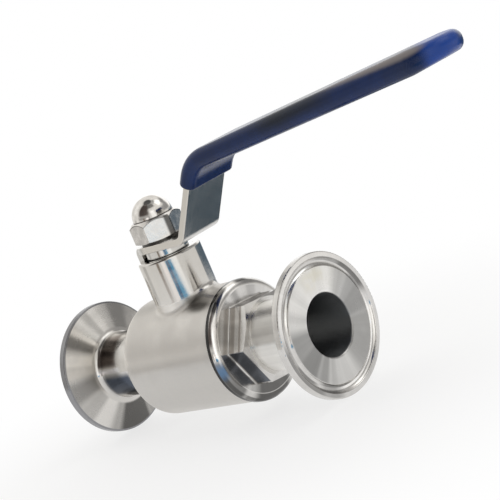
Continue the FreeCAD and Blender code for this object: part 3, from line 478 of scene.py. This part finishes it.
capFinish = {
    "base": (0.665, 0.65, 0.63, 1), "bright": (0.72, 0.71, 0.69, 1), "pale": (0.87, 0.855, 0.82, 1),
    "straw": (0.68, 0.65, 0.54, 1), "brown": (0.20, 0.17, 0.14, 1), "slate": (0.125, 0.135, 0.155, 1),
    "blue": (0.06, 0.18, 0.36, 1), "painted_bore_shade": (0.30, 0.31, 0.32, 1), "painted_seam_shade": (0.05, 0.05, 0.05, 1),
    # roughness of each zone
    "polished": 0.13, "flats": 0.13, "tube": 0.36, "face": 0.30, "bore": 0.35, "rings": 0.17,
    "lines": (5.0, 1.4, 3.0), "line_height": 0.0014, "line_rough": (-0.015, 0.025),
    "cloud": (0.16, 3.0, 0.55), "cloud_rough": (-0.02, 0.03), "cloud_shade": (0.97, 1.03),
    "streaks": (4.0, 4.0, 0.6), "streak_shade": (0.93, 1.05),
    "flats_along": (25.6, 34.2, 0.2), "tube_along": (34.2, 52.0, 1.0), "tube_reach": (14.2, 14.8),
    "face_start": (59.0, 59.3), "face_reach": (20.0, 20.4), "front_start": (58.6, 58.8), "rings_reach": (20.2, 20.5),
    "bore_reach": (11.1, 11.25), "seam_along": (21.8, 22.9, 0.3), "hexagon_reach": (14.0, 14.2),
    "ring_spans": {
        "land_fan": (23.4, 24.8, 0.3), "inner_wall_fan": (20.4, 21.3, 0.3), "trough_fan": (21.3, 22.3, 0.3),
        "outer_wall_fan": (22.3, 23.4, 0.3),
    },
    "flange_along": (25.2, 25.7, 0.1), "flange_reach": (15.0, 19.3, 0.3),
    "round_along": (22.0, 25.7, 0.1), "round_reach": (19.5, 21.4, 0.4),
    "shoulder_along": (23.3, 25.7, 0.3), "shoulder_reach": (21.1, 21.4), "edge_along": (21.8, 23.3, 0.3),
    # straw tint at the top of the face, painted brown reflection bands and a painted dark reflection on one lower flat
    # of the hexagon, a painted blue reflection on the flange
    "straw_reach": (13.5, 20.5, 4.0), "straw_cloud": (0.4, 0.6, 0.1, 0.6), "straw_side": (82, 22, 30),
    "brown_along": [(26.0, 28.2, 0.8), (30.2, 31.2, 0.6)], "brown_share": 0.6,
    "slate_along": (26.3, 32.8, 0.3), "slate_side": (204.5, 29.2, 2),
    "blue_along": (23.2, 25.4, 0.5), "blue_reach": (20.0, 20.6), "blue_side": (188, 7, 12), "blue_share": 0.68,
    # painted reflection streaks of the front face and its rings, and of the flange: middle, half width, softness,
    # factor
    "face_fan": [
        (8, 20, 18, 0.50), (28, 8, 12, 0.62), (46, 12, 16, 0.75), (105, 52, 20, 1.25), (150, 6, 10, 0.95),
        (180, 14, 14, 0.52), (206, 14, 10, 0.41), (228, 8, 10, 0.5), (245, 7, 8, 0.75), (268, 20, 16, 0.95),
        (312, 24, 20, 0.61), (340, 12, 12, 0.58),
    ],
    "land_fan": [(105, 60, 20, 1.25), (205, 30, 20, 0.45), (242, 10, 10, 0.65), (303, 14, 14, 0.85)],
    "inner_wall_fan": [
        (30, 14, 12, 1.3), (100, 22, 12, 1.6), (140, 20, 14, 1.6), (248, 20, 12, 0.4), (320, 28, 16, 1.6),
    ],
    "trough_fan": [
        (20, 10, 10, 0.5), (150, 14, 12, 0.75), (180, 12, 12, 0.65), (208, 14, 10, 0.4), (240, 10, 10, 0.65),
        (275, 18, 12, 1.5), (330, 30, 16, 1.5),
    ],
    "outer_wall_fan": [
        (30, 20, 14, 0.33), (62, 14, 12, 0.6), (145, 24, 14, 1.5), (190, 6, 6, 0.85), (215, 12, 10, 0.55),
        (238, 12, 8, 0.5), (270, 14, 10, 1.4), (303, 10, 8, 1.2), (335, 18, 12, 1.4),
    ],
    "flange_fan": [
        (71, 8, 10, 0.70), (105, 26, 10, 1.0), (98, 5, 8, 0.6), (150, 14, 10, 0.78), (170, 5, 6, 1.0),
        (185, 8, 6, 0.36), (209, 14, 12, 0.52), (232, 7, 8, 0.65), (265, 28, 14, 0.23),
    ],
    "round_fan": [
        (72, 8, 10, 0.72), (95, 8, 8, 1.4), (152, 26, 16, 1.5), (195, 14, 12, 0.42), (212, 10, 8, 0.36),
        (231, 8, 8, 1.0), (262, 26, 14, 0.2),
    ],
    "shoulder_fan": [
        (80, 7, 8, 0.25), (95, 6, 6, 1.4), (110, 8, 6, 0.8), (125, 7, 6, 0.33), (155, 22, 10, 1.5), (185, 8, 8, 0.42),
        (207, 16, 8, 0.17), (230, 6, 6, 0.35), (252, 18, 10, 0.15), (278, 8, 8, 0.35),
    ],
    "edge_fan": [(82, 14, 10, 0.3), (175, 64, 16, 0.12), (262, 26, 16, 0.3)],
}


def capSteel(plan):
    # polished cap: each turned zone has its own roughness and its own painted reflection streaks
    material, tree, shader = newMaterial("cap_steel")
    place = millimetres(tree)
    x, radius, y, z = cylinder(tree, place, "x")
    flats = within(tree, x, *plan["flats_along"])
    tube = times(tree, within(tree, x, *plan["tube_along"]), fall(tree, radius, *plan["tube_reach"]))
    face = times(tree, rise(tree, x, *plan["face_start"]), fall(tree, radius, *plan["face_reach"]))
    front = rise(tree, x, *plan["front_start"])
    bore = fall(tree, radius, *plan["bore_reach"])
    lines = turnedLines(tree, x, radius, y, z, *plan["lines"])
    # fine streaks that run out from the middle, one noise round the axis
    outward = joined(tree, maths(tree, "DIVIDE", y, radius), maths(tree, "DIVIDE", z, radius), 0.0)
    streaks = noise(tree, outward, *plan["streaks"])
    cloud = noise(tree, place, *plan["cloud"])
    rough = zoneValues(tree, plan["polished"], [
        (flats, plan["flats"]), (tube, plan["tube"]), (face, plan["face"]), (bore, plan["bore"]),
        (times(tree, front, rise(tree, radius, *plan["rings_reach"])), plan["rings"]),
    ])
    rough = add(tree, rough, spread(tree, cloud, *plan["cloud_rough"]), spread(tree, lines, *plan["line_rough"]))

    colour = mottled(tree, spread(tree, cloud), plan["base"], *plan["cloud_shade"])
    colour = mixColors(tree, face, colour, plan["bright"])
    angle = degreesRound(tree, y, z)
    straw = times(
        tree, face, within(tree, radius, *plan["straw_reach"]), rise(tree, cloud, *plan["straw_cloud"]),
        sector(tree, angle, *plan["straw_side"]),
    )
    colour = mixColors(tree, straw, colour, plan["straw"])
    colour = mixColors(tree, tube, colour, plan["pale"])
    hexagon = rise(tree, radius, *plan["hexagon_reach"])
    # painted reflections: brown bands across the hexagon's flats and a dark slate lower flat
    bands = add(tree, *[within(tree, x, *span) for span in plan["brown_along"]])
    colour = mixColors(tree, times(tree, bands, hexagon, plan["brown_share"]), colour, plan["brown"])
    slate = times(tree, within(tree, x, *plan["slate_along"]), sector(tree, angle, *plan["slate_side"]), hexagon)
    colour = mixColors(tree, slate, colour, plan["slate"])

    # painted reflections: each turned zone's light and dark streaks by angle round the axis
    zones = [("face_fan", face)]
    zones += [(name, times(tree, front, within(tree, radius, *span))) for name, span in plan["ring_spans"].items()]
    for name in ("flange", "round"):
        mask = times(tree, within(tree, x, *plan[name + "_along"]), within(tree, radius, *plan[name + "_reach"]))
        zones.append((name + "_fan", mask))
    shoulder = times(tree, within(tree, x, *plan["shoulder_along"]), rise(tree, radius, *plan["shoulder_reach"]))
    zones += [("shoulder_fan", shoulder), ("edge_fan", within(tree, x, *plan["edge_along"]))]
    fan = zoneValues(tree, 1.0, [(mask, paintedReflectionFan(tree, y, z, plan[name])) for name, mask in zones])
    fan = times(tree, fan, spread(tree, streaks, *plan["streak_shade"]))
    colour = mixColors(tree, 1.0, colour, fan, "MULTIPLY")

    # painted blue reflection on the flange's rounding
    blue = times(
        tree, within(tree, x, *plan["blue_along"]), rise(tree, radius, *plan["blue_reach"]),
        sector(tree, angle, *plan["blue_side"]), plan["blue_share"],
    )
    colour = mixColors(tree, blue, colour, plan["blue"])
    # painted shade inside the bore, and painted shadow in the seam between the cap and the body
    colour = mixColors(tree, bore, colour, plan["painted_bore_shade"])
    colour = mixColors(tree, within(tree, x, *plan["seam_along"]), colour, plan["painted_seam_shade"])
    plug(tree, shader, {
        "Base Color": colour, "Metallic": 1.0, "Roughness": rough, "Anisotropic": 0.9,
        "Anisotropic Rotation": 0.25, "Tangent": tangentRound(tree, place, "x"),
        "Normal": bump(tree, times(tree, lines, maths(tree, "SUBTRACT", 1.0, flats)), plan["line_height"]),
    })
    return material


turnedFinishes = {
    "packing_gland": {"base": (0.66, 0.65, 0.63), "rough": 0.12, "vary": 0.03, "line_height": 0.001, "axis": "z"},
    # painted shade: the lever washer's near-black colour stands for the shadow in the gap under the nut
    "lever_washer": {"base": (0.11, 0.105, 0.10), "rough": 0.30, "vary": 0.05, "line_height": 0.002, "axis": "z"},
    "stem": {"base": (0.64, 0.63, 0.61), "rough": 0.16, "vary": 0.04, "line_height": 0.002, "axis": "z"},
    "ball": {"base": (0.70, 0.69, 0.67), "rough": 0.06, "vary": 0.02, "line_height": 0.0006, "axis": "x"},
}
# what the small turned parts share
turnedGrain = {
    "lines": (6.0, 1.4, 3.0), "line_rough": (-0.01, 0.02), "cloud": (0.3, 4.0, 0.6), "cloud_shade": (0.95, 1.05),
}


def turnedSteel(name, plan, grain):
    # a small part turned about its axis, with fine lines round it
    material, tree, shader = newMaterial(name)
    place = millimetres(tree)
    lines = turnedLines(tree, *cylinder(tree, place, plan["axis"]), *grain["lines"])
    cloud = noise(tree, place, *grain["cloud"])
    rough = add(tree, plan["rough"], spread(tree, cloud, -plan["vary"], plan["vary"]))
    plug(tree, shader, {
        "Base Color": mottled(tree, spread(tree, cloud), plan["base"], *grain["cloud_shade"]), "Metallic": 1.0,
        "Roughness": add(tree, rough, spread(tree, lines, *grain["line_rough"])),
        "Normal": bump(tree, lines, plan["line_height"]),
    })
    return material


leverFinish = {
    "base": (0.64, 0.63, 0.61, 1), "edge": (0.70, 0.67, 0.62, 1), "rough": 0.17, "edge_rough": 0.3,
    "edge_from": (9.55, 9.95), "cloud": (0.18, 3.0), "cloud_shade": (0.94, 1.05),
    # the streaks are stretched along the strip, and share the height with the grain
    "streak": (1.0, 4.0, 0.6), "streak_stretch": (0.25, 3.0, 0.25), "streak_rough": (-0.03, 0.05), "streak_share": 0.4,
    "grain": (2.6, 3.0, 0.65), "grain_share": 0.6, "grain_height": 0.004,
}


def leverSteel(plan):
    # rolled strip: fine grain along its run, cut edges a little duller and brighter
    material, tree, shader = newMaterial("lever_steel")
    place = millimetres(tree)
    edge = rise(tree, maths(tree, "ABSOLUTE", parted(tree, place)[1]), *plan["edge_from"])
    streak = noise(tree, vectorMaths(tree, "MULTIPLY", place, plan["streak_stretch"]), *plan["streak"])
    grain = noise(tree, place, *plan["grain"])
    cloud = noise(tree, place, *plan["cloud"])
    rough = add(tree, plan["rough"], spread(tree, streak, *plan["streak_rough"]))
    colour = mottled(tree, spread(tree, cloud), plan["base"], *plan["cloud_shade"])
    height = add(tree, times(tree, grain, plan["grain_share"]), times(tree, streak, plan["streak_share"]))
    plug(tree, shader, {
        "Base Color": mixColors(tree, edge, colour, plan["edge"]), "Metallic": 1.0,
        "Roughness": mixValues(tree, edge, rough, plan["edge_rough"]),
        "Normal": bump(tree, height, plan["grain_height"]),
    })
    return material


nutFinish = {
    "base": (0.79, 0.765, 0.735, 1), "dome": 0.11, "flats": 0.22, "dome_from": (52.3, 52.7),
    "mottle": (0.42, 2.0, 0.5), "mottle_from": (0.35, 0.65), "mottle_shade": (0.9, 1.08), "mottle_rough": (-0.04, 0.06),
    "mottle_height": 0.03, "lines": (5.0, 1.2, 2.0), "line_share": 0.08,
    # painted shade in the dome's foot and under the chamfer, and at the end of the flat beside the lever
    "painted_shade": (0.05, 0.045, 0.04, 1), "painted_shade_share": 0.88,
    "foot_height": (52.3, 52.8, 0.2), "foot_reach": (7.2, 7.9, 0.3),
    "chamfer_sum": 60.7, "chamfer_below": (0.05, 0.32, 0.1), "chamfer_top": (52.3, 52.45), "chamfer_share": 0.8,
    "shade_side": (-15, 7, 6), "shade_top": (51.8, 52.2),
}


def nutSteel(plan):
    # polished dome over mottled hexagon flats: height and radius add up to the same sum along the chamfer
    material, tree, shader = newMaterial("nut_steel")
    place = millimetres(tree)
    up, radius, first, second = cylinder(tree, place, "z")
    dome = rise(tree, up, *plan["dome_from"])
    mottle = noise(tree, place, *plan["mottle"])
    lines = turnedLines(tree, up, radius, first, second, *plan["lines"])
    rough = mixValues(tree, dome, plan["flats"], plan["dome"])
    colour = mottled(tree, rise(tree, mottle, *plan["mottle_from"]), plan["base"], *plan["mottle_shade"])
    height = mixValues(tree, dome, mottle, times(tree, lines, plan["line_share"]))
    # painted shade: the dome's foot, a line under the chamfer and the end of the flat beside the lever
    foot = times(tree, within(tree, up, *plan["foot_height"]), within(tree, radius, *plan["foot_reach"]))
    below = maths(tree, "SUBTRACT", plan["chamfer_sum"], add(tree, up, radius))
    chamfer = times(
        tree, within(tree, below, *plan["chamfer_below"]), fall(tree, up, *plan["chamfer_top"]), plan["chamfer_share"],
    )
    shade = times(
        tree, sector(tree, degreesRound(tree, first, second), *plan["shade_side"]), fall(tree, up, *plan["shade_top"]),
    )
    painted_shade = maths(tree, "MAXIMUM", maths(tree, "MAXIMUM", foot, chamfer), shade)
    plug(tree, shader, {
        "Base Color": mixColors(tree, times(tree, painted_shade, plan["painted_shade_share"]), colour, plan["painted_shade"]),
        "Metallic": 1.0, "Roughness": add(tree, rough, spread(tree, mottle, *plan["mottle_rough"])),
        "Normal": bump(tree, height, plan["mottle_height"]),
    })
    return material


gripFinish = {
    "navy": (0.004, 0.020, 0.095, 1), "royal": (0.015, 0.060, 0.30, 1), "dark": (0.010, 0.013, 0.013, 1),
    "painted_sheen": (0.25, 0.225, 0.215, 1), "rough": 0.20,
    "cloud": (0.06, 4.0, 0.6), "cloud_from": (0.35, 0.65), "cloud_shade": (0.85, 1.25), "cloud_rough": (-0.04, 0.07),
    "peel": (0.45, 2.0), "peel_height": 0.012,
    "pores": (3.5, 3.0, 0.6), "pore_rough": (0.4, 0.7, 0.0, 0.05), "pore_share": 0.12,
    # shares of X and Y in the slanting distance, and the slope and start of the handle's middle height
    "slant": (0.75, 0.66), "middle": (0.0822, 64.7),
    "tip_cloud": 3.0, "tip_start": (101.5, 106.0), "tip_end": (112.8, 115.0, 0.25),
    "upper_from": (-2.4, 1.6), "dark_reflection_along": (74.0, 104.0, 20.0), "dark_reflection_share": 0.78,
    "dark_reflection_slant": (91.0, 101.0, 8.0), "slant_share": 0.5,
    "painted_sheen_from": (1.9, 3.5), "painted_sheen_side": (-11.0, -6.0), "painted_sheen_slant": (72.0, 108.0, 8.0), "painted_sheen_share": 0.85,
    "painted_sheen_widens": (66.0, 96.0), "painted_sheen_narrows": (97.0, 109.0), "painted_sheen_step": 1.3, "painted_sheen_cloud": 0.8, "painted_sheen_rough": 0.10,
    "top_from": (2.4, 3.4), "top_along": (100.0, 135.0), "top_rough": 0.08,
}


def gripVinyl(plan):
    # dipped vinyl: a smooth skin with faint orange peel, with a painted highlight at the tip
    material, tree, shader = newMaterial("grip_vinyl")
    place = millimetres(tree)
    x, y, z = parted(tree, place)
    peel, pores, cloud = [noise(tree, place, *plan[key]) for key in ("peel", "pores", "cloud")]
    slant = add(tree, times(tree, x, plan["slant"][0]), times(tree, y, plan["slant"][1]))
    lift = maths(tree, "SUBTRACT", z, add(tree, times(tree, x, plan["middle"][0]), plan["middle"][1]))
    colour = mottled(tree, rise(tree, cloud, *plan["cloud_from"]), plan["navy"], *plan["cloud_shade"])
    # painted dark reflections on stretches of the upper half, beyond the bend and before the tip
    dark_reflection = times(tree, within(tree, x, *plan["dark_reflection_along"]), rise(tree, lift, *plan["upper_from"]))
    dark_reflection = add(tree, dark_reflection, times(tree, within(tree, slant, *plan["dark_reflection_slant"]), plan["slant_share"]))
    colour = mixColors(tree, times(tree, dark_reflection, plan["dark_reflection_share"]), colour, plan["dark"])
    # painted highlight: the tip's bright facet lies between two slanting lines of its plan
    tip = rise(tree, add(tree, slant, times(tree, cloud, plan["tip_cloud"])), *plan["tip_start"])
    tip = times(tree, tip, fall(tree, slant, *plan["tip_end"]))
    colour = mixColors(tree, tip, colour, plan["royal"])
    # painted sheen on the near rounding of the top, wider towards the tip and gone at its end
    reach = add(
        tree, lift, times(tree, cloud, plan["painted_sheen_cloud"]),
        rise(tree, slant, *plan["painted_sheen_widens"], -plan["painted_sheen_step"], 0.0),
        rise(tree, slant, *plan["painted_sheen_narrows"], 0.0, -plan["painted_sheen_step"]),
    )
    painted_sheen = times(
        tree, rise(tree, reach, *plan["painted_sheen_from"]), fall(tree, y, *plan["painted_sheen_side"]),
        within(tree, slant, *plan["painted_sheen_slant"]),
    )
    colour = mixColors(tree, times(tree, painted_sheen, plan["painted_sheen_share"]), colour, plan["painted_sheen"])
    top = times(tree, rise(tree, lift, *plan["top_from"]), rise(tree, x, *plan["top_along"]))
    rough = add(
        tree, plan["rough"], spread(tree, cloud, *plan["cloud_rough"]), rise(tree, pores, *plan["pore_rough"]),
        times(tree, top, plan["top_rough"]), times(tree, painted_sheen, plan["painted_sheen_rough"]),
    )
    height = add(tree, peel, times(tree, pores, plan["pore_share"]))
    plug(tree, shader, {
        "Base Color": colour, "Metallic": 0.0, "Roughness": rough, "Specular IOR Level": 0.28,
        "Normal": bump(tree, height, plan["peel_height"]),
    })
    return material


plastics = {
    "white_fluoropolymer": {
        "base": (0.80, 0.80, 0.77, 1), "rough": 0.42,
        "pieces": (
            "rear_seat", "front_seat", "body_gasket", "bottom_packing_ring", "middle_packing_ring", "top_packing_ring",
        ),
    },
    "filled_fluoropolymer": {"base": (0.60, 0.57, 0.48, 1), "rough": 0.45, "pieces": ("thrust_washer",)},
    "ring_rubber": {"base": (0.018, 0.018, 0.018, 1), "rough": 0.5, "pieces": ("stem_o_ring",)},
}
# what plastic and rubber share
plasticGrain = {
    "cloud": (0.4, 3.0), "lighter": 1.12, "grain": (4.0, 2.0), "grain_rough": (-0.03, 0.05), "grain_height": 0.01,
}


def plainPlastic(name, plan, grain):
    # moulded or turned plastic and rubber, faintly clouded
    material, tree, shader = newMaterial(name)
    place = millimetres(tree)
    cloud, fine = [noise(tree, place, *grain[key]) for key in ("cloud", "grain")]
    plug(tree, shader, {
        "Base Color": mixColors(tree, cloud, plan["base"], tinted(plan["base"], grain["lighter"])), "Metallic": 0.0,
        "Roughness": add(tree, spread(tree, fine, *grain["grain_rough"]), plan["rough"]),
        "Normal": bump(tree, fine, grain["grain_height"]),
    })
    return material


def dress(name, material):
    for slot in nodes[name].material_slots:
        slot.material = material


dress("valve_body", bodySteel(bodyFinish))
dress("end_cap", capSteel(capFinish))
dress("lever", leverSteel(leverFinish))
dress("lever_grip", gripVinyl(gripFinish))
dress("acorn_nut", nutSteel(nutFinish))
for nodeName, finish in turnedFinishes.items():
    dress(nodeName, turnedSteel(nodeName + "_steel", finish, turnedGrain))
for plasticName, finish in plastics.items():
    plastic = plainPlastic(plasticName, finish, plasticGrain)
    for nodeName in finish["pieces"]:
        dress(nodeName, plastic)
print("nodes dressed")
